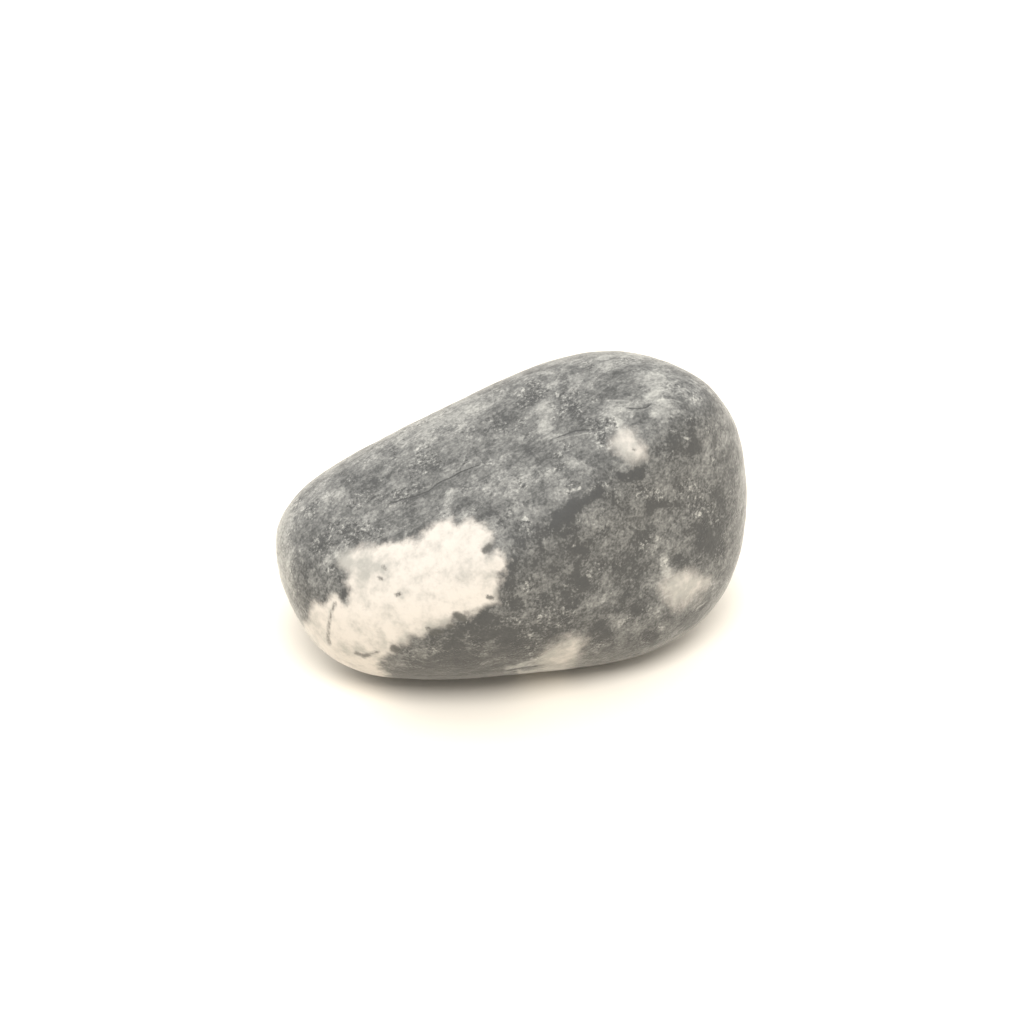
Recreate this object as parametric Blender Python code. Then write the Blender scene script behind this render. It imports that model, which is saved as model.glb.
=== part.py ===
"""A river pebble: a wedge-shaped worn stone, low at its nose and tall at its other end.

The stone is modelled the way a river makes one. It starts as a rough block with a few broad
faces, and wear rounds every edge between them. Its frame has +X from the low nose to the tall
end, -Y to the front and +Z up, with the origin in the middle of its box, at the foot.
"""
import math

import bmesh
import bpy
from mathutils import Vector

MM = 0.001

# The heart is the point inside the stone that the worn faces are measured from.
# The stone rests on a flat foot this far below it, in millimetres
FOOT_DEPTH = 16.5

# How sharply two worn faces meet: a high number leaves an edge, a low one a ball
EDGE_SHARPNESS = 7.0

# The ball that is pulled into the stone's shape is divided this many times
BALL_DIVISIONS = 5

# The broad faces that wear has left. Each has the direction that it faces, as azimuth and
# elevation in degrees (azimuth 0 is +X, 90 is +Y), and its distance from the heart in millimetres
WORN_FACES = {
    "sloping top": (205, 64, 18.0),
    "crown over the tall end": (52, 62, 24.0),
    "back of the top": (109, 44, 14.5),
    "front": (-77, 3, 24.5),
    "front above the foot": (-102, -45, 22.0),
    "back": (95, 0, 21.5),
    "back above the foot": (95, -45, 21.5),
    "tall end": (-8, 11, 34.0),
    "shoulder of the tall end": (11, 39, 32.5),
    "lower tall end": (-16, -17, 33.0),
    "front corner of the tall end": (-45, 0, 34.5),
    "front corner above the foot": (-54, -48, 28.5),
    "back corner of the tall end": (38, 0, 30.5),
    "back corner under the crown": (45, 32, 27.0),
    "back corner above the foot": (35, -42, 28.5),
    "nose": (170, -14, 33.5),
    "lower nose": (182, -38, 31.5),
    "front of the nose": (-137, 10, 29.0),
    "back of the nose": (146, 28, 27.0),
    "lower back of the nose": (140, -25, 27.5),
    "underside": (0, -90, 18.0),
}

# Weathered grey stone, dry and matt
STONE_GREY = (0.235, 0.228, 0.209, 1.0)
STONE_ROUGHNESS = 0.78


def clear_scene():
    """Take every object out of the open scene."""
    for scene_object in list(bpy.data.objects):
        bpy.data.objects.remove(scene_object, do_unlink=True)


def direction(azimuth, elevation):
    """The unit vector that points along an azimuth and an elevation in degrees."""
    turn = math.radians(azimuth)
    lift = math.radians(elevation)
    return Vector((math.cos(turn) * math.cos(lift), math.sin(turn) * math.cos(lift), math.sin(lift)))


def distance_to_surface(toward):
    """Millimetres from the heart to the worn surface, along a unit vector.

    With endless sharpness this is the distance to the nearest face plane. A finite sharpness
    lets neighbouring faces share the direction, which rounds the edge between them.
    """
    share = 0.0
    for azimuth, elevation, distance in WORN_FACES.values():
        facing = max(0.0, toward.dot(direction(azimuth, elevation)))
        share += (facing / distance) ** EDGE_SHARPNESS
    return share ** (-1.0 / EDGE_SHARPNESS)


def shape_stone(mesh):
    """Pull a unit ball's points onto the worn surface, and flatten the foot."""
    for vertex in mesh.verts:
        toward = vertex.co.normalized()
        point = toward * distance_to_surface(toward)
        height = max(0.0, point.z + FOOT_DEPTH)
        vertex.co = Vector((point.x, point.y, height)) * MM


def centre_over_foot(mesh):
    """Put the middle of the stone's box over the origin, with the foot still at height zero."""
    along = [vertex.co.x for vertex in mesh.verts]
    across = [vertex.co.y for vertex in mesh.verts]
    middle = Vector(((min(along) + max(along)) / 2, (min(across) + max(across)) / 2, 0.0))
    bmesh.ops.translate(mesh, verts=mesh.verts, vec=-middle)


def stone_material():
    """Dry grey stone."""
    material = bpy.data.materials.new("grey_stone")
    material.use_nodes = True
    shader = material.node_tree.nodes["Principled BSDF"]
    shader.inputs["Base Color"].default_value = STONE_GREY
    shader.inputs["Roughness"].default_value = STONE_ROUGHNESS
    shader.inputs["Metallic"].default_value = 0.0
    material.diffuse_color = STONE_GREY
    return material


def make_pebble():
    """The whole stone, as one closed body."""
    shape = bmesh.new()
    bmesh.ops.create_icosphere(shape, subdivisions=BALL_DIVISIONS, radius=1.0)
    shape_stone(shape)
    centre_over_foot(shape)
    mesh = bpy.data.meshes.new("pebble")
    shape.to_mesh(mesh)
    shape.free()
    mesh.materials.append(stone_material())
    mesh.shade_smooth()
    pebble = bpy.data.objects.new("pebble", mesh)
    bpy.context.scene.collection.objects.link(pebble)
    return pebble


clear_scene()
make_pebble()
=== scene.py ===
"""The looks of the river pebble: a water-worn grey stone with milky white patches.

The fine stone is built on the same worn faces as the solid that it stands for, and takes real
relief: broad unevenness and pits. Its marks, such as the big white patch, lie where the
photograph shows them, and marks of the same kind go on round the far side.
"""
import math
import random

import bmesh
import bpy
import numpy as np
from mathutils import Matrix, Vector, kdtree, noise


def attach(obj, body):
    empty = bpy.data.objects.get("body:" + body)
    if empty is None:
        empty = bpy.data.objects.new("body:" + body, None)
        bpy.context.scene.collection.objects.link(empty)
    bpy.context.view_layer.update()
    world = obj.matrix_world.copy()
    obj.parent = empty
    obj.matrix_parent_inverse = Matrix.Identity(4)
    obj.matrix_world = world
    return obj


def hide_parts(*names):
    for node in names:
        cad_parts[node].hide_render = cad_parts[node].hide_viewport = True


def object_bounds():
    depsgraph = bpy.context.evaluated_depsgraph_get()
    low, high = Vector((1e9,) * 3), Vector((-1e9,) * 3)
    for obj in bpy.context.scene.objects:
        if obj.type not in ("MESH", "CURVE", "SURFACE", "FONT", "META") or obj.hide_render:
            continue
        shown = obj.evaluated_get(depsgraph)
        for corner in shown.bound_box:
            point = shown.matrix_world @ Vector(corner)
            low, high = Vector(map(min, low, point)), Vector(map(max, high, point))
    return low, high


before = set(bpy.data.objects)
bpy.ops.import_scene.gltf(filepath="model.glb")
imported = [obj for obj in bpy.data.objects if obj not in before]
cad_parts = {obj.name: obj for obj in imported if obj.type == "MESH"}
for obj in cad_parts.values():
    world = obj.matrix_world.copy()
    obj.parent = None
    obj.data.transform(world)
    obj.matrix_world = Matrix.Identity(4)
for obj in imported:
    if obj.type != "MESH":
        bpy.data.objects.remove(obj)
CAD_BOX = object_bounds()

MM = 0.001

# The stone's shape, in millimetres, as in the solid: a flat foot this far below the heart of
# the stone, and how sharply two worn faces meet
FOOT_DEPTH = 16.5
EDGE_SHARPNESS = 7.0

# Each worn face: the azimuth and elevation that it faces, in degrees, and its distance from the
# heart of the stone
WORN_FACES = {
    "sloping top": (205, 64, 18.0),
    "crown over the tall end": (52, 62, 24.0),
    "back of the top": (109, 44, 14.5),
    "front": (-77, 3, 24.5),
    "front above the foot": (-102, -45, 22.0),
    "back": (95, 0, 21.5),
    "back above the foot": (95, -45, 21.5),
    "tall end": (-8, 11, 34.0),
    "shoulder of the tall end": (11, 39, 32.5),
    "lower tall end": (-16, -17, 33.0),
    "front corner of the tall end": (-45, 0, 34.5),
    "front corner above the foot": (-54, -48, 28.5),
    "back corner of the tall end": (38, 0, 30.5),
    "back corner under the crown": (45, 32, 27.0),
    "back corner above the foot": (35, -42, 28.5),
    "nose": (170, -14, 33.5),
    "lower nose": (182, -38, 31.5),
    "front of the nose": (-137, 10, 29.0),
    "back of the nose": (146, 28, 27.0),
    "lower back of the nose": (140, -25, 27.5),
    "underside": (0, -90, 18.0),
}

# Squares along each side of the cube that is blown up into the fine stone
GRID = 128

# Unevenness of the surface: the size of its swells and their height, in millimetres, and the
# heights over the floor between which all relief sets in, so that the foot stays flat
SWELLS = ((11.0, 0.20), (4.5, 0.09), (1.7, 0.035))
RELIEF_SETS_IN = (0.3, 2.5)

# Where each random draw starts: the pits, and the wandering of the marks' outlines
PIT_SEED = 11
WANDER_SEED = 5

# Pits worn into the surface: their number, the range of their radii in millimetres, their depth
# as a share of the radius, the range of shares of that depth that they have, how steep their
# walls are, and how many radii from the middle they end
PIT_COUNT = 260
PIT_RADIUS = (0.4, 0.9)
PIT_DEPTH = 0.16
PIT_FULLNESS = (0.4, 1.0)
PIT_STEEPNESS = 3.0
PIT_REACH = 1.5

# The camera that saw the stone: where it stands round the stone, in degrees and metres, its lens,
# the point that it looks at, in millimetres right of and above the middle of the stone's box, and
# the nearest that it sees, in metres
CAMERA_AZIMUTH = -18.0
CAMERA_ELEVATION = 30.0
CAMERA_DISTANCE = 0.425
LENS_MM = 120.0
SENSOR_MM = 36.0
AIM_RIGHT_MM = 0.17
AIM_UP_MM = -1.67
NEAREST_SEEN = 0.01

# The photograph: its side in pixels, and how many of them a millimetre of the stone takes up
PHOTO_SIDE = 1024
PIXELS_PER_MM = 8.03

# The light: an even white surround, and broad lamps, each with its strength, spread, azimuth and
# elevation in degrees
SURROUND_WHITE = (1.0, 0.988, 0.955, 1.0)
SURROUND_STRENGTH = 0.84
LAMPS = {
    "over the camera": (2.3, 26.0, -107.0, 55.0),
    "behind, left": (1.5, 60.0, 128.0, 30.0),
    "behind, right": (1.35, 60.0, 16.0, 30.0),
}

# The grey of the stone: how much light it gives back at each tone, from its darkest streaks to
# its palest clouds, its tint at both ends, and the tone that its patterns and marks are added to
GREY_SCALE = ((0.0, 0.064), (0.26, 0.072), (0.42, 0.122), (0.6, 0.205), (0.8, 0.320), (1.0, 0.46))
DARK_TINT = Vector((1.0, 1.0, 0.975))
PALE_TINT = Vector((1.0, 0.978, 0.89))
PLAIN_TONE = 0.364

# The colours of the other marks: the white patches, white that is thin, and dark spots on white
WHITE = (0.588, 0.543, 0.489, 1.0)
DULL_WHITE = (0.36, 0.346, 0.313, 1.0)
DARK = (0.08, 0.078, 0.071, 1.0)

# How the stone takes light: its roughness, how strong its fine bumps are, how much it shines, and
# the sheen that brightens it where it is seen at a low angle
STONE_ROUGHNESS = 0.62
BUMP_STRENGTH = 0.7
SHINE = 0.25
SHEEN = 0.55
SHEEN_ROUGHNESS = 0.28
SHEEN_TINT = (1.0, 0.97, 0.90, 1.0)

# The floor: its colour, and how far it reaches to each side, in metres
FLOOR_WHITE = (0.93, 0.865, 0.765, 1.0)
FLOOR_REACH = 10.0

# The grain on the sloping top: the turn about Y that lays it along the slope, in degrees, and how
# many times longer than wide its streaks are
GRAIN_TURN = -23.0
GRAIN_STRETCH = 2.4

# How squarely the stone faces up where its sides end and where its top begins, from 0 to 1
SIDES_END = 0.45
TOP_BEGINS = 0.8

# White patches, as how sharp their edges are and their outlines, in pixels of the photograph
WHITE_PATCHES = {
    "big patch on the nose": (1.0, [
        (439, 523), (447, 520), (458, 523), (473, 521), (485, 526), (494, 535), (491, 544), (483, 549),
        (489, 555), (498, 550), (508, 559), (505, 570), (497, 573), (501, 580), (497, 591), (497, 603),
        (483, 608), (470, 616), (455, 614), (447, 626), (432, 630), (423, 638), (411, 636), (407, 644),
        (394, 647), (388, 655), (381, 661), (379, 667), (386, 673), (392, 682), (360, 682), (330, 668),
        (308, 648), (300, 630), (309, 617), (312, 608), (316, 601), (326, 603), (335, 595), (343, 604),
        (350, 597), (349, 588), (346, 582), (348, 574), (344, 569), (338, 566), (337, 559), (342, 553),
        (350, 551), (359, 548), (382, 544), (395, 542), (408, 541), (420, 537), (426, 529),
    ]),
    "spot under the crown": (0.7, [
        (618, 433), (628, 430), (637, 436), (643, 447), (646, 458), (635, 462), (624, 457), (615, 449),
        (611, 441),
    ]),
    "patch on the tall end": (0.6, [
        (670, 576), (684, 572), (698, 573), (706, 580), (703, 589), (696, 597), (684, 603), (675, 607),
        (669, 601), (664, 593), (661, 585), (664, 578),
    ]),
    "low patch at the front": (0.6, [
        (542, 656), (548, 650), (557, 645), (573, 638), (583, 636), (580, 650), (576, 660), (568, 667),
        (552, 669), (540, 664),
    ]),
}

# Soft marks on the grey, as how much lighter or darker they are, a radius and a line of points,
# in pixels of the photograph. Most are the stone's own clouds and streaks, but some are painted
# shade along the bottom and over the front, and painted light over the top and along its upper outline
SOFT_MARKS = {
    "dark streak on the ridge, near end": (-0.20, 7, [(522, 541), (552, 525)]),
    "dark streak on the ridge, middle": (-0.60, 6, [(560, 518), (572, 511)]),
    "dark streak on the ridge, far end": (-0.65, 4.5, [(576, 506), (599, 493)]),
    "pale gap in the streak": (0.12, 5, [(608, 485), (611, 488)]),
    "dark spot below the gap": (-0.20, 4, [(616, 497), (618, 506)]),
    "dark blob under the white spot": (-0.52, 5.5, [(621, 478), (638, 472)]),
    "dark zone right of the white spot": (-0.28, 9, [(654, 452), (672, 438)]),
    "dark blob below the shoulder": (-0.32, 7, [(684, 452), (698, 451)]),
    "dark band below the shoulder": (-0.20, 7, [(692, 424), (694, 446)]),
    "dark streak on the tall front": (-0.28, 6, [(648, 508), (672, 503)]),
    "dark right of the streak": (-0.30, 8, [(644, 536), (644, 538)]),
    "dark patch on the tall end": (-0.30, 11, [(714, 530), (716, 545)]),
    "dark patch on the tall end, high": (-0.28, 8, [(718, 496), (718, 504)]),
    "dark patch on the tall end, left": (-0.24, 9, [(697, 530), (700, 540)]),
    "dark notch in the right patch": (-0.34, 5, [(680, 558), (683, 568)]),
    "dark area over the nose": (-0.32, 10, [(346, 478), (370, 482)]),
    "dark specks along the crack": (-0.26, 8, [(420, 466), (438, 468)]),
    "dark spot under the crack": (-0.22, 6, [(410, 509), (414, 511)]),
    "dark spot over the big patch": (-0.20, 7, [(456, 506), (460, 508)]),
    "dark spot over the patch's corner": (-0.20, 6, [(484, 516), (490, 514)]),
    "dark zone on the nose": (-0.22, 13, [(322, 545), (362, 540)]),
    "dark wedge beside the big patch": (-0.14, 9, [(328, 588), (338, 574)]),
    "dark wedge low beside the patch": (-0.26, 5, [(342, 594), (348, 590)]),
    "dark strip left of the patch": (-0.12, 9, [(306, 560), (308, 590)]),
    "dark spot by the limb": (-0.22, 6, [(301, 533), (302, 537)]),
    "dark cloud under the crown": (-0.26, 11, [(602, 380), (612, 388)]),
    "dark streak on the crown": (-0.18, 7, [(616, 371), (646, 366)]),
    "dark specks on the top": (-0.30, 9, [(570, 404), (582, 424)]),
    "dark speck zone on the slope": (-0.28, 11, [(500, 420), (528, 398)]),
    "dark gap on the ridge": (-0.18, 7, [(526, 450), (540, 456)]),
    "dark blob at the front": (-0.36, 7, [(580, 578), (582, 588)]),
    "dark blob left of it": (-0.32, 7, [(566, 595), (570, 602)]),
    "dark cloud at the front": (-0.22, 9, [(572, 546), (580, 550)]),
    "dark cloud low at the front": (-0.36, 11, [(502, 640), (516, 648)]),
    "dark cloud by the patch's corner": (-0.16, 8, [(512, 566), (510, 600)]),
    "dark cloud under the patch": (-0.22, 8, [(458, 630), (488, 620)]),
    "dark spot low at the front": (-0.40, 9, [(464, 662), (478, 664)]),
    # Painted shadow: darkens the bottom edge of the front, where the stone meets its shadow on the floor
    "painted shadow along the bottom of the front": (-0.70, 11, [(396, 684), (498, 684)]),
    "dark zone low at the left": (-0.14, 10, [(416, 666), (456, 650)]),
    # Painted shade: a broad darkening of the lower front
    "painted shade low on the front": (-0.08, 34, [(440, 668), (560, 622), (600, 618)]),
    # Painted shade: darkens the foot of the right side, near the floor
    "painted shadow at the foot of the right side": (-0.24, 9, [(688, 624), (708, 606)]),
    # Painted shadow: darkens the bottom edge at the right, near the floor
    "painted shadow along the bottom at the right": (-0.35, 8, [(590, 678), (640, 662), (668, 652)]),
    "dark blob right at the front": (-0.30, 8, [(600, 626), (612, 642)]),
    "dark blob low at the right": (-0.30, 7, [(648, 635), (656, 638)]),
    "dark spot under the right patch": (-0.20, 6, [(637, 610), (640, 613)]),
    # Painted shade: the front made darker as a whole, as less light falls on it than on the top
    "painted shade over the front as a whole": (-0.17, 75, [(440, 650), (560, 590), (660, 540)]),
    "dark flanks of the crack": (-0.12, 5, [(405, 500), (430, 490), (450, 478), (478, 467)]),
    # Painted light: the top made lighter as a whole, as more light falls on it than on the front
    "painted light over the top as a whole": (0.04, 60, [(340, 480), (600, 375)]),
    # Painted rim light: a pale band along the upper outline of the top
    "painted rim light along the upper edge of the top": (0.12, 28, [(320, 484), (400, 434), (520, 380), (640, 352)]),
    "pale cloud on the top": (0.32, 9, [(541, 408), (548, 434)]),
    "pale cloud by the crown": (0.20, 9, [(608, 366), (636, 358)]),
    "pale cloud over the tall end": (0.18, 10, [(650, 382), (660, 420)]),
    "pale shoulder of the crown": (0.26, 15, [(650, 380), (690, 394)]),
    "pale cloud below the shoulder": (0.20, 8, [(660, 410), (674, 414)]),
    "pale cloud above the white spot": (0.38, 8, [(612, 411), (628, 412)]),
    "pale neck above the white spot": (0.38, 5, [(619, 420), (621, 432)]),
    "pale arm left of the white spot": (0.26, 5, [(602, 449), (612, 448)]),
    "pale band along the ridge": (0.20, 17, [(486, 488), (560, 476)]),
    "pale spot on the ridge": (0.24, 6, [(515, 500), (516, 505)]),
    "pale blob above the streak": (0.30, 6, [(572, 463), (596, 472)]),
    # Painted rim light: a pale band just inside the upper outline of the slope
    "painted rim light on the slope": (0.20, 9, [(400, 440), (470, 408)]),
    "pale spot over the nose": (0.20, 5, [(364, 469), (368, 471)]),
    "pale flat spot on the nose": (0.12, 6, [(326, 498), (340, 496)]),
    "pale spot above the patch": (0.30, 6, [(364, 517), (368, 518)]),
    "pale cloud over the patch": (0.16, 7, [(446, 505), (448, 503)]),
    "pale flake over the patch": (0.30, 3, [(448, 493), (456, 490)]),
    "pale halo above the patch": (0.28, 6, [(446, 514), (466, 515)]),
    "pale halo right of the patch": (0.26, 7, [(494, 524), (504, 556)]),
    "pale halo left of the patch": (0.28, 7, [(326, 560), (348, 546)]),
    "pale cloud on the tall front": (0.16, 9, [(586, 519), (600, 523)]),
    "pale cloud by the tall end": (0.30, 9, [(656, 518), (664, 516)]),
    "pale spot by the tall end": (0.28, 7, [(664, 489), (667, 491)]),
    "pale cloud over the right patch": (0.20, 12, [(656, 540), (664, 546)]),
    "pale flake over the right patch": (0.24, 5, [(681, 549), (685, 551)]),
    "pale arm of the right patch": (0.55, 6.5, [(662, 560), (666, 572)]),
    "pale halo of the right patch": (0.34, 8, [(658, 584), (664, 594)]),
    "pale tail of the right patch": (0.26, 8, [(694, 606), (712, 584)]),
    "pale ring at the front": (0.24, 6, [(527, 588), (531, 590)]),
    "pale cloud below the ring": (0.26, 8, [(543, 622), (555, 619)]),
    "pale spot at the front": (0.26, 6, [(606, 577), (610, 581)]),
    "pale cloud at the front": (0.26, 11, [(582, 602), (604, 602)]),
    "pale cloud right at the front": (0.34, 8, [(654, 611), (658, 612)]),
    "pale cloud low at the right": (0.24, 9, [(616, 625), (636, 622)]),
    "pale spot above the low patch": (0.20, 6, [(596, 645), (620, 641)]),
    "pale streak under the right patch": (0.24, 5, [(662, 632), (674, 627)]),
    "pale cloud under the big patch": (0.22, 9, [(420, 654), (432, 652)]),
    "pale spots by the low front": (0.22, 6, [(476, 671), (494, 642)]),
    "pale halo of the low patch": (0.16, 6, [(548, 650), (578, 640)]),
    "pale upper tail of the low patch": (0.75, 3, [(506, 669), (524, 664), (545, 657)]),
    "pale lower tail of the low patch": (0.95, 3, [(520, 673), (545, 671), (565, 669)]),
    # Painted rim light: a pale band along the outline of the nose
    "painted rim light on the edge of the nose": (0.32, 14, [(286, 510), (283, 590)]),
}

# Dark marks inside the white patches and along their edges, as a radius and a line of points, in
# pixels of the photograph
DARK_SPOTS = {
    "short line on the nose": (1.3, [(335, 603), (331, 614), (329, 625), (328, 639), (330, 644)]),
    "streak at the patch's foot": (1.3, [(355, 653), (363, 655), (370, 654), (378, 652)]),
    "streak's blob": (2.2, [(364, 656), (369, 655)]),
    "fleck in the big patch": (1.9, [(397, 595), (400, 594)]),
    "fleck up in the big patch": (1.2, [(383, 566), (385, 569)]),
    "fleck left in the big patch": (1.4, [(379, 578), (382, 579)]),
    "edge bead of the big patch, far": (3.6, [(456, 615), (463, 618)]),
    "edge bead of the big patch, middle": (2.4, [(448, 627), (451, 626)]),
    "edge bead of the big patch, near": (3.2, [(432, 633), (440, 632)]),
    "edge dot of the big patch": (1.6, [(427, 628), (429, 628)]),
    "edge bead of the big patch, low": (3.4, [(393, 648), (398, 650)]),
    "bay in the big patch": (2.6, [(484, 551), (490, 545)]),
    "fleck right in the big patch": (2.2, [(488, 597), (492, 598)]),
    "fleck in the white spot": (1.0, [(633, 449), (635, 450)]),
}

# Places where the white is thin and the grey shows through, as how much, a radius and a line of
# points, in pixels of the photograph
THIN_WHITE = {
    "corner of the big patch": (0.50, 9, [(338, 560), (346, 552)]),
    "left end of the big patch": (0.62, 14, [(344, 562), (362, 564)]),
    "middle of the left end": (0.40, 12, [(366, 580), (386, 574)]),
    "big patch as a whole": (0.16, 90, [(350, 610), (450, 570)]),
    "right of the big patch": (0.5, 7, [(487, 540), (488, 556)]),
    "right rim of the big patch": (0.45, 6, [(500, 590), (492, 604)]),
    "grey breath in the big patch": (0.28, 9, [(440, 570), (468, 578)]),
    "lower rim of the big patch": (0.5, 7, [(400, 642), (446, 622)]),
    "foot of the big patch": (0.35, 9, [(350, 650), (384, 652)]),
    "nose end of the big patch": (0.35, 10, [(310, 615), (318, 640)]),
    "white spot under the crown": (0.8, 14, [(640, 456), (616, 440)]),
    "right patch as a whole": (0.62, 40, [(682, 588), (684, 588)]),
    "low patch as a whole": (0.6, 40, [(556, 654), (560, 654)]),
}

# Places where small dark and pale grains crowd together, as how much, a radius and a line of
# points, in pixels of the photograph
SPECKLED = {
    "dark zone on the nose": (0.8, 12, [(318, 548), (345, 532), (366, 536)]),
    "over the crack": (1.0, 9, [(414, 468), (434, 462)]),
    "left of the crack": (0.5, 9, [(356, 500), (372, 498)]),
    "beside the limb of the nose": (0.5, 8, [(298, 508), (310, 504)]),
    "slope of the top": (1.0, 9, [(522, 396), (536, 388)]),
    "left of the slope's specks": (0.6, 8, [(500, 424), (508, 430)]),
    "under the crown, left": (1.0, 9, [(572, 404), (582, 420)]),
    "under the crown, right": (1.0, 9, [(602, 426), (612, 430)]),
    "near end of the streak": (0.8, 8, [(526, 528), (548, 530)]),
    "gap in the streak": (1.0, 8, [(606, 488), (614, 494)]),
    "right of the gap": (0.7, 9, [(642, 492), (654, 498)]),
    "tall end": (0.9, 10, [(690, 488), (700, 512)]),
    "tall end, low": (0.5, 8, [(716, 520), (722, 530)]),
    "below the shoulder": (0.9, 7, [(684, 436), (690, 442)]),
    "shoulder": (0.7, 7, [(714, 424), (718, 430)]),
    "ring at the front": (0.8, 9, [(527, 588), (532, 592)]),
    "middle of the front": (0.7, 10, [(600, 566), (614, 568)]),
    "low at the front": (0.8, 9, [(548, 606), (562, 618)]),
    "bottom of the front": (0.6, 9, [(516, 640), (532, 650)]),
    "left of the low patch": (0.4, 10, [(470, 640), (490, 650)]),
}

# Single pale grains, as a radius and a place, in pixels of the photograph
PALE_GRAINS = {
    "flake left of the streak": (2.6, (526, 519)),
    "grain on the ridge": (2.0, (547, 470)),
    "flake on the tall end": (2.6, (699, 513)),
    "curl below the shoulder": (2.2, (687, 438)),
    "grain on the tall end": (1.8, (716, 520)),
    "grain low at the front": (2.0, (530, 636)),
    "grain under it": (1.8, (530, 653)),
    "grain by the ring": (1.8, (527, 583)),
    "grain in the middle": (2.0, (589, 576)),
    "grain at the front": (1.8, (573, 546)),
    "grain over the streak": (1.8, (580, 488)),
    "grain on the slope": (1.8, (523, 390)),
    "grain under the crown": (1.8, (558, 395)),
    "grain beside the patch": (1.8, (540, 616)),
}

# The marks of the sides that the photograph doesn't show: white patches made of round ones, each
# with the azimuth and elevation of its middle and its radius in millimetres
FAR_WHITE = {
    "back patch": [(112, -14, 4.2), (124, -8, 3.6), (134, -14, 2.6), (101, -22, 2.2)],
    "spot high on the back": [(60, 18, 2.3), (67, 23, 1.7)],
    "spot low on the tall end": [(22, -24, 2.2), (15, -30, 1.7)],
    "underside of the nose": [(168, -44, 3.8), (190, -52, 3.4), (152, -38, 2.4), (-150, -58, 3.0)],
    "underside at the front": [(-92, -60, 3.0), (-76, -66, 2.4)],
    "flecks on the back": [(85, 40, 1.2), (40, 4, 1.0), (152, 8, 1.5), (76, -32, 1.3)],
}

# Soft shades of the same sides, as how much lighter or darker they are, a radius in millimetres
# and the azimuth and elevation of each of their middles
FAR_SHADES = {
    "dark streak across the back": (-0.4, 1.9, [
        (68, 5), (73, 4), (78, 1), (83, -1), (88, -2), (92, -5),
    ]),
    "dark cloud by the back patch": (-0.30, 3.2, [(140, -2), (144, -9), (148, -17)]),
    "dark cloud on the tall end": (-0.4, 3.0, [(28, 10), (36, 18)]),
    "dark cloud under the tall end": (-0.35, 3.0, [(50, -30), (62, -24)]),
    "dark cloud behind the nose": (-0.3, 3.2, [(166, 18), (160, 30)]),
    "dark cloud under the back": (-0.35, 3.5, [(95, -50), (120, -48)]),
    "dark cloud on the underside": (-0.3, 4.0, [(20, -70), (150, -75)]),
    "dark spots high on the back": (-0.3, 1.8, [(100, 30), (118, 36)]),
    "pale cloud on the back": (0.3, 2.6, [(88, 14), (98, 12)]),
    "pale band under the crown": (0.24, 3.0, [(50, 40), (70, 46)]),
    "pale cloud on the tall end": (0.28, 2.2, [(10, -4), (18, 2)]),
    "pale cloud low on the back": (0.28, 2.6, [(84, -24), (70, -14)]),
    "pale halo of the back patch": (0.3, 3.0, [(106, -4), (140, -20)]),
    "pale cloud on the nose": (0.26, 2.4, [(176, 0), (172, -12)]),
}

# Hairlines, in pixels of the photograph: dark ones are cracks, pale ones are worn edges
DARK_HAIRLINES = {
    "crack along the top": [
        (382, 506), (398, 501), (414, 497), (429, 491), (439, 483), (450, 478), (461, 472), (477, 466),
        (487, 464),
    ],
    "line over the pale edge": [(548, 441), (561, 436), (576, 431), (597, 429)],
    "line under the crown": [(622, 407), (634, 409), (645, 408), (652, 404)],
    "line low at the front": [(504, 671), (520, 668), (540, 665)],
}
PALE_HAIRLINES = {
    "pale end of the crack": [(476, 468), (484, 464), (493, 463)],
    "pale edge across the top": [(542, 446), (557, 440), (576, 435), (597, 432)],
    "pale edge under the crown": [(650, 403), (662, 399), (675, 400), (685, 404)],
    "pale edge by the crown": [(602, 401), (616, 400), (630, 401)],
    "pale squiggle by the streak": [(607, 490), (613, 494), (617, 500), (618, 506)],
    "pale squiggle on the tall front": [(632, 526), (640, 530), (648, 529)],
    "pale streak on the tall end": [(695, 611), (703, 604), (708, 600)],
}

# How the hairlines run: their half width in millimetres, the share of it that is at full
# strength, how far they stray in millimetres, the shares of their length where they are in full
# and where they start to fade, and how far from them, in pixels, there is nothing and everything
# of them
HAIRLINE_WIDTH = 0.14
HAIRLINE_CORE = 0.3
HAIRLINE_STRAY = 0.05
HAIRLINE_FULL_AT = 0.2
HAIRLINE_FADES_AT = 0.85
HAIRLINE_REACH = (12.0, 6.0)

# How the outlines of the marks wander: the size of the bends in millimetres and how far they go,
# in pixels
SOFT_WANDER = (1.6, 3.5)
PATCH_WANDER = (0.9, 1.2)

# The distances from the marks' edges that are kept, in millimetres
MARK_RANGE = (-4.0, 6.0)

# Where the marks of the photograph give way to those of the other sides, as how squarely the
# stone faces the camera: 1 straight at it, 0 at the outline and -1 straight away. Soft marks fade
# between two such values. Sharp marks end at the outline, because these numbers of millimetres
# push them off the side that isn't theirs.
SOFT_MARKS_FADE = (-0.35, 0.0)
NEAR_MARKS_PUSH = 14.0
FAR_MARKS_PUSH = 8.0
FAR_MARKS_END = (-0.1, 0.1)


def direction(azimuth, elevation):
    """The unit vector that points along an azimuth and an elevation in degrees."""
    turn = math.radians(azimuth)
    lift = math.radians(elevation)
    return np.array([math.cos(turn) * math.cos(lift), math.sin(turn) * math.cos(lift), math.sin(lift)])


def smooth_step(low, high, value):
    """0 below low, 1 above high, and a smooth climb between them."""
    share = np.clip((value - low) / (high - low), 0.0, 1.0)
    return share * share * (3.0 - 2.0 * share)


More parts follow.
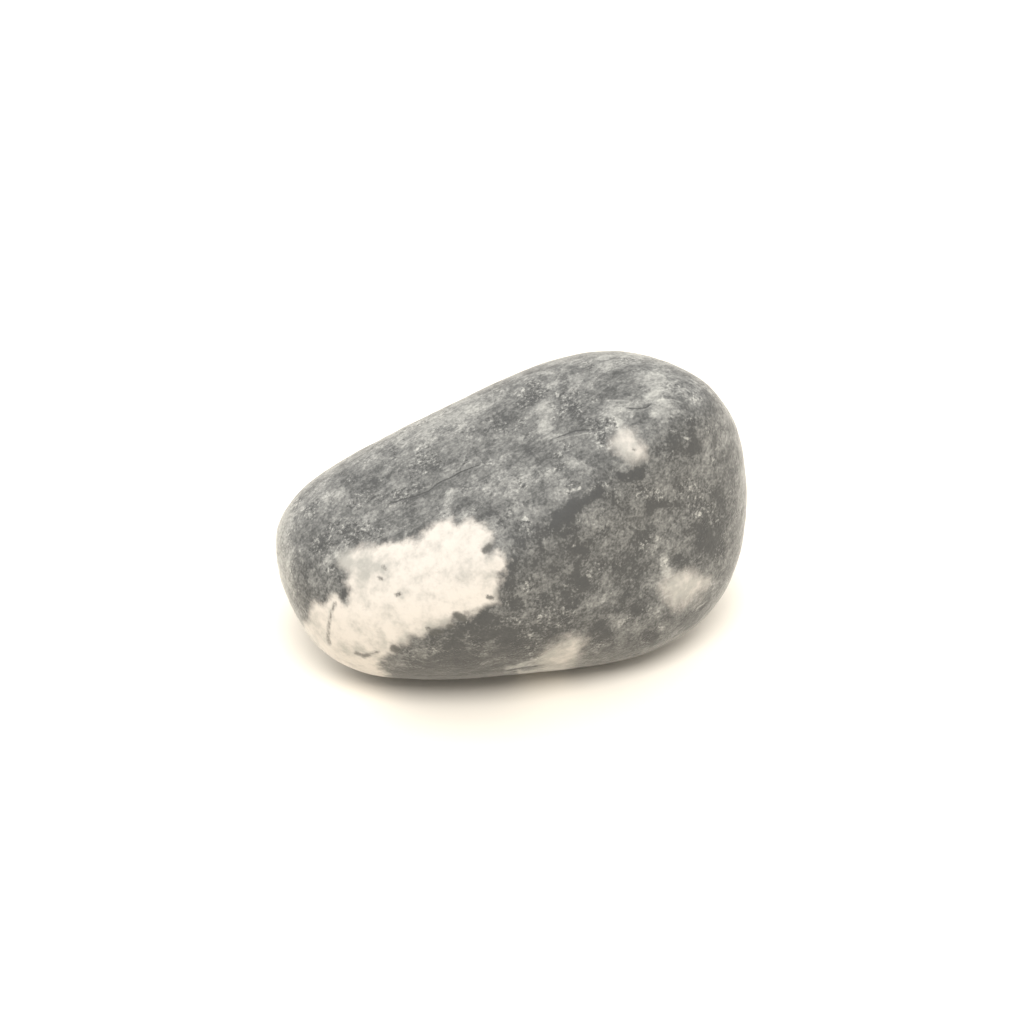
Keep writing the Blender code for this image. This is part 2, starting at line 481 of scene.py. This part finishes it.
def camera_axes():
    """The directions to the right, up and back out of the photograph, in the stone's frame."""
    turn = math.radians(CAMERA_AZIMUTH)
    lift = math.radians(CAMERA_ELEVATION)
    right = np.array([math.cos(turn), math.sin(turn), 0.0])
    back = np.array([math.sin(turn) * math.cos(lift), -math.cos(turn) * math.cos(lift), math.sin(lift)])
    return right, np.cross(back, right), back


def aim_point():
    """The point that the camera looks at, in metres."""
    right, up, _ = camera_axes()
    middle = (np.array(CAD_BOX[0]) + np.array(CAD_BOX[1])) / 2
    return middle + (right * AIM_RIGHT_MM + up * AIM_UP_MM) * MM


def photo_pixels(points):
    """Where the photograph shows points that are given in metres."""
    right, up, back = camera_axes()
    from_camera = points - (aim_point() + back * CAMERA_DISTANCE)
    depth = -(from_camera @ back)
    scale = LENS_MM / SENSOR_MM * PHOTO_SIDE / depth
    across = PHOTO_SIDE / 2 + from_camera @ right * scale
    down = PHOTO_SIDE / 2 - from_camera @ up * scale
    return np.stack([across, down], axis=1)


def on_stone(toward):
    """Points of the worn surface, in millimetres from the heart, along unit vectors."""
    share = np.zeros(len(toward))
    for azimuth, elevation, distance in WORN_FACES.values():
        facing = np.maximum(0.0, toward @ direction(azimuth, elevation))
        share += (facing / distance) ** EDGE_SHARPNESS
    return toward * (share ** (-1.0 / EDGE_SHARPNESS))[:, None]


def read_vectors(collection, name):
    """One vector for each entry of a mesh's collection, as rows of x, y and z."""
    flat = np.empty(len(collection) * 3)
    collection.foreach_get(name, flat)
    return flat.reshape(-1, 3)


def ball_mesh():
    """A cube with a grid on each side, blown up into a ball of even squares."""
    shape = bmesh.new()
    bmesh.ops.create_cube(shape, size=2.0)
    bmesh.ops.subdivide_edges(shape, edges=shape.edges, cuts=GRID - 1, use_grid_fill=True)
    mesh = bpy.data.meshes.new("pebble_stone")
    shape.to_mesh(mesh)
    shape.free()
    # The tangent keeps the squares in the middle of each side as wide as those at its edges
    ball = np.tan(read_vectors(mesh.vertices, "co") * math.pi / 4)
    return mesh, ball / np.linalg.norm(ball, axis=1)[:, None]


def place_points(mesh, points):
    """Move the mesh's points to new places."""
    mesh.vertices.foreach_set("co", points.ravel())
    mesh.update()


def swells(point):
    """Height of the broad unevenness at a point in millimetres."""
    return sum(height * noise.noise(point / size) for size, height in SWELLS)


def pit_depths(points):
    """How deep the pits go at each point, in millimetres."""
    tree = kdtree.KDTree(len(points))
    for number, point in enumerate(points):
        tree.insert(point, number)
    tree.balance()
    chance = random.Random(PIT_SEED)
    depths = np.zeros(len(points))
    for _ in range(PIT_COUNT):
        middle = points[chance.randrange(len(points))]
        radius = chance.uniform(*PIT_RADIUS)
        deepest = PIT_DEPTH * radius * chance.uniform(*PIT_FULLNESS)
        for _, number, away in tree.find_range(middle, radius * PIT_REACH):
            depth = deepest * math.exp(-PIT_STEEPNESS * (away / radius) ** 2)
            depths[number] = max(depths[number], depth)
    return depths


def worn_stone():
    """The fine stone, with the middle of its box over the origin, and where its heart is."""
    mesh, toward = ball_mesh()
    points = on_stone(toward)
    middle = (points.min(axis=0) + points.max(axis=0)) / 2
    heart = np.array([-middle[0], -middle[1], FOOT_DEPTH])
    points += heart
    points[:, 2] = np.maximum(0.0, points[:, 2])
    place_points(mesh, points * MM)
    relief = np.array([swells(Vector(point)) for point in points]) - pit_depths(points)
    relief *= smooth_step(*RELIEF_SETS_IN, points[:, 2])
    points += read_vectors(mesh.vertex_normals, "vector") * relief[:, None]
    place_points(mesh, points * MM)
    return mesh, heart


def wander(points, size, reach):
    """Irregular shifts in the picture, in pixels, which make the marks' outlines natural."""
    noise.seed_set(WANDER_SEED)
    shifts = [noise.noise_vector(Vector(point) / (size * MM)) for point in points]
    return np.array(shifts)[:, :2] * reach


def line_offsets(pixels, line):
    """For each pixel: its distance from a line of points, which side it is on, and how far along."""
    lengths = [math.dist(start, end) for start, end in zip(line, line[1:])]
    nearest = np.full(len(pixels), np.inf)
    side = np.ones(len(pixels))
    share = np.zeros(len(pixels))
    passed = 0.0
    for start, end, length in zip(line, line[1:], lengths):
        start = np.array(start, float)
        run = (np.array(end, float) - start) / length
        offset = pixels - start
        along = np.clip(offset @ run, 0.0, length)
        away = np.linalg.norm(offset - along[:, None] * run, axis=1)
        closer = away < nearest
        nearest = np.where(closer, away, nearest)
        side = np.where(closer, np.sign(offset[:, 0] * run[1] - offset[:, 1] * run[0]), side)
        share = np.where(closer, (passed + along) / sum(lengths), share)
        passed += length
    return nearest, side, share


def line_distance(pixels, line):
    """Distance in pixels from each pixel to a line of points."""
    return line_offsets(pixels, line)[0]


def outline_distance(pixels, outline):
    """Distance in pixels from each pixel to a closed outline, less than zero inside it."""
    inside = np.zeros(len(pixels), bool)
    for (x1, y1), (x2, y2) in zip(outline, outline[1:] + outline[:1]):
        if y1 == y2:
            continue
        level = (pixels[:, 1] - y1) / (y2 - y1)
        beside = ((y1 > pixels[:, 1]) != (y2 > pixels[:, 1])) & (pixels[:, 0] < x1 + level * (x2 - x1))
        inside ^= beside
    return line_distance(pixels, outline + outline[:1]) * np.where(inside, -1.0, 1.0)


def nearest_mark(distances):
    """The smallest of several distance fields in pixels, turned into millimetres."""
    return np.clip(np.min(distances, axis=0) / PIXELS_PER_MM, *MARK_RANGE)


def facing_camera(points, normals):
    """How squarely each point faces the photograph's camera: 1 straight at it, -1 straight away."""
    _, _, back = camera_axes()
    toward_camera = aim_point() + back * CAMERA_DISTANCE - points
    toward_camera /= np.linalg.norm(toward_camera, axis=1)[:, None]
    return np.sum(normals * toward_camera, axis=1)


def hairline_fields(pixels, lines):
    """Signed distance across the nearest hairline in millimetres, and how strong it is there."""
    nearest = np.full(len(pixels), np.inf)
    across = np.zeros(len(pixels))
    strength = np.zeros(len(pixels))
    for line in lines.values():
        away, side, share = line_offsets(pixels, line)
        closer = away < nearest
        nearest = np.where(closer, away, nearest)
        across = np.where(closer, away * side, across)
        ends = smooth_step(0.0, HAIRLINE_FULL_AT, share) * smooth_step(1.0, HAIRLINE_FADES_AT, share)
        strength = np.where(closer, ends, strength)
    return across / PIXELS_PER_MM, strength * smooth_step(*HAIRLINE_REACH, nearest)


def add_field(mesh, name, values):
    """Keep one number for each point of the mesh, under a name that the material reads."""
    field = mesh.attributes.new(name, "FLOAT", "POINT")
    field.data.foreach_set("value", values.astype(np.float32))


def far_distance(from_heart, azimuth, elevation):
    """Distance in millimetres from each point to the stone's surface in one direction."""
    return np.linalg.norm(from_heart - on_stone(direction(azimuth, elevation)[None]), axis=1)


def far_shade(from_heart):
    """The soft shades of the sides that the photograph doesn't show."""
    shade = np.zeros(len(from_heart))
    for strength, radius, middles in FAR_SHADES.values():
        away = np.min([far_distance(from_heart, *middle) for middle in middles], axis=0)
        shade += strength * np.exp(-(away / radius) ** 2)
    return shade


def photo_shade(pixels, marks):
    """How strong a set of soft marks that the photograph shows is at each pixel."""
    shade = np.zeros(len(pixels))
    for strength, radius, line in marks.values():
        shade += strength * np.exp(-(line_distance(pixels, line) / radius) ** 2)
    return shade


def far_white_distance(from_heart):
    """Distance in millimetres from each point to the nearest white patch of the other sides."""
    blobs = [blob for patch in FAR_WHITE.values() for blob in patch]
    distances = [
        far_distance(from_heart, azimuth, elevation) - radius for azimuth, elevation, radius in blobs
    ]
    return np.min(distances, axis=0)


def add_marks(mesh, heart):
    """Work out how each mark of the stone lies on the mesh."""
    points = read_vectors(mesh.vertices, "co")
    from_heart = points / MM - heart
    facing = facing_camera(points, read_vectors(mesh.vertex_normals, "vector"))
    past_edge = np.maximum(0.0, -facing) * NEAR_MARKS_PUSH
    seen = smooth_step(*SOFT_MARKS_FADE, facing)
    pixels = photo_pixels(points)
    loose = pixels + wander(points, *SOFT_WANDER)
    near = pixels + wander(points, *PATCH_WANDER)

    patches = [outline_distance(near, line) * sharpness for sharpness, line in WHITE_PATCHES.values()]
    white = nearest_mark(patches) + past_edge
    far_white = far_white_distance(from_heart) + FAR_MARKS_PUSH * smooth_step(*FAR_MARKS_END, facing)
    add_field(mesh, "white_edge", np.minimum(white, far_white))
    spots = nearest_mark([line_distance(pixels, line) - radius for radius, line in DARK_SPOTS.values()])
    add_field(mesh, "spot_edge", spots + past_edge)
    add_field(mesh, "thin_white", photo_shade(pixels, THIN_WHITE) * seen)
    # The soft marks are partly the stone's own clouds and streaks and partly painted shade and painted
    # light
    shade = photo_shade(loose, SOFT_MARKS)
    add_field(mesh, "soft_shade", shade * seen + far_shade(from_heart) * (1.0 - seen))
    add_field(mesh, "speckled", photo_shade(loose, SPECKLED) * seen)
    grains = [np.linalg.norm(pixels - middle, axis=1) - radius for radius, middle in PALE_GRAINS.values()]
    add_field(mesh, "grain_edge", nearest_mark(grains) + past_edge)
    for name, lines in (("dark_line", DARK_HAIRLINES), ("pale_line", PALE_HAIRLINES)):
        across, strength = hairline_fields(pixels, lines)
        add_field(mesh, name + "_across", across)
        add_field(mesh, name + "_strength", strength * seen)


class Shader:
    """Adds nodes to a material, each set up and joined in one call."""

    def __init__(self, name):
        self.material = bpy.data.materials.new(name)
        self.material.use_nodes = True
        self.tree = self.material.node_tree
        self.surface = self.tree.nodes["Principled BSDF"]

    def node(self, kind, inputs, **settings):
        """A node with its own settings, and with each input set to a value or joined."""
        made = self.tree.nodes.new(kind)
        for name, value in settings.items():
            setattr(made, name, value)
        self.join(made, inputs)
        return made

    def join(self, node, inputs):
        """Set or join a node's inputs, given by name or by number."""
        for name, value in inputs.items():
            if isinstance(value, bpy.types.NodeSocket):
                self.tree.links.new(value, node.inputs[name])
            else:
                node.inputs[name].default_value = value

    def coordinates(self, name):
        """A vector that the object gives, such as the place or the normal."""
        return self.node("ShaderNodeTexCoord", {}).outputs[name]

    def scaled(self, vector, amount):
        """A vector times a number."""
        made = self.node("ShaderNodeVectorMath", {0: vector, "Scale": amount}, operation="SCALE")
        return made.outputs[0]

    def field(self, name):
        """A number kept on the mesh."""
        return self.node("ShaderNodeAttribute", {}, attribute_name=name).outputs["Fac"]

    def math(self, operation, *values):
        """The result of one step of arithmetic."""
        return self.node("ShaderNodeMath", dict(enumerate(values)), operation=operation).outputs[0]

    def total(self, start, *parts):
        """A starting value plus each part times its weight."""
        for part, weight in parts:
            start = self.math("MULTIPLY_ADD", part, weight, start)
        return start

    def noise(self, place, size, detail=2.0, roughness=0.6, distortion=0.0):
        """Cloudy noise on both sides of 0, whose largest clouds are size millimetres across."""
        inputs = {
            "Vector": place, "Scale": 1.0 / size, "Detail": detail, "Roughness": roughness,
            "Distortion": distortion,
        }
        return self.node("ShaderNodeTexNoise", inputs, normalize=False).outputs[0]

    def step(self, value, low, high):
        """A smooth climb from 0 to 1 as the value goes from low to high."""
        inputs = {"Value": value, "From Min": low, "From Max": high}
        return self.node("ShaderNodeMapRange", inputs, interpolation_type="SMOOTHSTEP").outputs[0]

    def mix(self, share, first, second):
        """A colour between two colours, which are inputs 6 and 7 of the node, with output 2."""
        return self.node("ShaderNodeMix", {0: share, 6: first, 7: second}, data_type="RGBA").outputs[2]

    def ramp(self, value, stops):
        """A colour read off a scale of colours."""
        made = self.node("ShaderNodeValToRGB", {"Fac": value})
        scale = made.color_ramp
        while len(scale.elements) < len(stops):
            scale.elements.new(0.5)
        for element, (place, grey) in zip(scale.elements, stops):
            element.position = place
            tint = DARK_TINT.lerp(PALE_TINT, place)
            element.color = (*(grey * tint), 1.0)
        return made.outputs["Color"]


def grey_tone(shader, place):
    """How light the grey is at each place: from 0 in the dark streaks to 1 in the pale clouds."""
    cloud = shader.noise(place, 5.5, detail=1.0, distortion=0.6)
    mottle = shader.noise(place, 2.3, detail=3.0, roughness=0.6, distortion=0.5)
    blotch = shader.step(shader.noise(place, 1.4, detail=2.0, distortion=0.4), -0.08, 0.12)
    small_blotch = shader.step(shader.noise(place, 0.65, detail=1.5, distortion=0.4), -0.12, 0.18)
    grain = shader.noise(place, 0.34, detail=1.5)
    level = shader.noise(place, 3.4, detail=3.0, distortion=0.8)
    vein = shader.step(shader.math("ABSOLUTE", level), 0.06, 0.0)
    turned = shader.node("ShaderNodeMapping", {
        "Vector": place,
        "Rotation": (0.0, math.radians(GRAIN_TURN), 0.0),
        "Scale": (GRAIN_STRETCH, 1.0, 1.0),
    }, vector_type="TEXTURE").outputs[0]
    streaks = shader.noise(turned, 0.9, detail=2.0, roughness=0.8)
    upward = shader.node("ShaderNodeSeparateXYZ", {0: shader.coordinates("Normal")}).outputs[2]
    on_top = shader.step(upward, SIDES_END, TOP_BEGINS)
    on_side = shader.step(upward, TOP_BEGINS, SIDES_END)
    # The soft shade holds the soft marks, painted shade and painted light among them
    shade = shader.field("soft_shade")
    ragged_shade = shader.total(shade, (mottle, 0.20), (grain, 0.12))
    dark = shader.step(ragged_shade, -0.14, -0.40)
    pale = shader.step(ragged_shade, 0.10, 0.32)
    return shader.total(
        PLAIN_TONE, (cloud, 0.07), (mottle, 0.12), (blotch, 0.09), (small_blotch, 0.07), (grain, 0.12),
        (vein, 0.07), (shader.math("MULTIPLY", streaks, on_top), 0.08),
        (shader.math("MULTIPLY", grain, on_side), 0.05), (shade, 0.45), (dark, -0.13), (pale, 0.10))


def hairline(shader, name, ragged):
    """How much of the hairlines there is at each place, from 0 beside them to 1 on them."""
    stray = (ragged, HAIRLINE_STRAY)
    across = shader.math("ABSOLUTE", shader.total(shader.field(name + "_across"), stray))
    line = shader.step(across, HAIRLINE_WIDTH, HAIRLINE_WIDTH * HAIRLINE_CORE)
    return shader.math("MULTIPLY", line, shader.field(name + "_strength"))


def flecks(shader, place):
    """The pale and the dark flecks, which crowd together in the speckled places."""
    specks = shader.noise(place, 0.40, detail=1.0)
    scatter = shader.noise(shader.scaled(place, -1.0), 2.6, detail=2.0)
    crowded = shader.step(shader.total(shader.field("speckled"), (scatter, 0.9)), 0.05, 0.65)
    pale = shader.math("MULTIPLY", shader.step(specks, 0.34, 0.46), crowded)
    dark = shader.math("MULTIPLY", shader.step(specks, -0.24, -0.40), crowded)
    return pale, dark


def white_patches(shader, place, fine):
    """How much white covers the grey at each place, and the colour that it has there."""
    border = shader.noise(place, 1.6, detail=3.0, roughness=0.65)
    thin = shader.field("thin_white")
    smoothed = shader.math("MULTIPLY", border, thin)
    edge = shader.total(shader.field("white_edge"), (border, 0.60), (fine, 0.08), (smoothed, -0.65))
    cover = shader.step(edge, 0.65, -0.75)
    veil = shader.total(thin, (shader.noise(place, 2.2, detail=3.0, roughness=0.7), 0.50))
    return cover, shader.mix(shader.step(veil, -0.1, 1.1), WHITE, DULL_WHITE)


def dark_spots(shader, ragged, fine):
    """How much the dark spots cover the white at each place."""
    edge = shader.total(shader.field("spot_edge"), (ragged, 0.08), (fine, 0.08))
    return shader.math("MULTIPLY", shader.step(edge, 0.20, -0.20), 0.85)


def stone_material():
    """Mottled grey stone with ragged white patches, pale clouds, dark streaks and fine grain."""
    shader = Shader("river_stone")
    place = shader.scaled(shader.coordinates("Object"), 1.0 / MM)
    ragged = shader.noise(place, 1.2, detail=3.0, roughness=0.8)
    fine = shader.noise(place, 0.22, detail=2.0, roughness=0.8)

    pale_flecks, dark_flecks = flecks(shader, place)
    grain_edge = shader.total(shader.field("grain_edge"), (ragged, 0.25), (fine, 0.1))
    pale_grain = shader.step(grain_edge, 0.10, -0.10)
    dark_line = hairline(shader, "dark_line", ragged)
    pale_line = hairline(shader, "pale_line", ragged)
    tone = shader.total(
        grey_tone(shader, place), (pale_flecks, 0.28), (dark_flecks, -0.24), (pale_grain, 0.40),
        (dark_line, -0.28), (pale_line, 0.16))
    white, milk = white_patches(shader, place, fine)
    colour = shader.mix(white, shader.ramp(tone, GREY_SCALE), milk)
    colour = shader.mix(dark_spots(shader, ragged, fine), colour, DARK)

    height = shader.total(
        0.0, (ragged, 0.025), (fine, 0.010), (pale_flecks, 0.02), (dark_flecks, -0.04),
        (pale_grain, 0.03), (dark_line, -0.08), (white, 0.02))
    bump = shader.node("ShaderNodeBump", {"Strength": BUMP_STRENGTH, "Distance": MM, "Height": height})
    shader.join(shader.surface, {
        "Base Color": colour,
        "Roughness": shader.total(STONE_ROUGHNESS, (ragged, 0.10), (fine, 0.08), (white, -0.06)),
        "Normal": bump.outputs[0],
        "Specular IOR Level": SHINE,
        "Sheen Weight": SHEEN,
        "Sheen Roughness": SHEEN_ROUGHNESS,
        "Sheen Tint": SHEEN_TINT,
    })
    return shader.material


def make_stone():
    """The fine stone, which is shown in the solid's place."""
    mesh, heart = worn_stone()
    mesh.shade_smooth()
    add_marks(mesh, heart)
    mesh.materials.append(stone_material())
    stone = bpy.data.objects.new("pebble_stone", mesh)
    bpy.context.scene.collection.objects.link(stone)
    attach(stone, "root")
    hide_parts("pebble")


def make_floor():
    """A wide plain pale floor."""
    shape = bmesh.new()
    bmesh.ops.create_grid(shape, x_segments=1, y_segments=1, size=FLOOR_REACH)
    mesh = bpy.data.meshes.new("floor")
    shape.to_mesh(mesh)
    shape.free()
    shader = Shader("pale_floor")
    shader.join(shader.surface, {
        "Base Color": FLOOR_WHITE,
        "Roughness": 1.0,
        "Specular IOR Level": 0.0,
    })
    mesh.materials.append(shader.material)
    floor = bpy.data.objects.new("floor", mesh)
    bpy.context.scene.collection.objects.link(floor)


def make_light():
    """An even white surround, and the broad lamps."""
    world = bpy.data.worlds.new("white_surround")
    world.use_nodes = True
    background = world.node_tree.nodes["Background"]
    background.inputs["Color"].default_value = SURROUND_WHITE
    background.inputs["Strength"].default_value = SURROUND_STRENGTH
    bpy.context.scene.world = world
    for name, (strength, spread, azimuth, elevation) in LAMPS.items():
        lamp = bpy.data.lights.new(name, "SUN")
        lamp.energy = strength
        lamp.angle = math.radians(spread)
        light = bpy.data.objects.new(name, lamp)
        toward_lamp = Vector(direction(azimuth, elevation))
        light.rotation_euler = toward_lamp.to_track_quat("Z", "Y").to_euler()
        bpy.context.scene.collection.objects.link(light)


def make_camera():
    """The camera that saw the stone."""
    right, up, back = camera_axes()
    lens = bpy.data.cameras.new("camera")
    lens.lens = LENS_MM
    lens.sensor_width = SENSOR_MM
    lens.clip_start = NEAREST_SEEN
    camera = bpy.data.objects.new("camera", lens)
    turned = Matrix((right, up, back)).transposed().to_4x4()
    camera.matrix_world = Matrix.Translation(Vector(aim_point() + back * CAMERA_DISTANCE)) @ turned
    bpy.context.scene.collection.objects.link(camera)
    bpy.context.scene.camera = camera


bpy.context.scene.view_settings.view_transform = "Standard"
make_stone()
make_floor()
make_light()
make_camera()
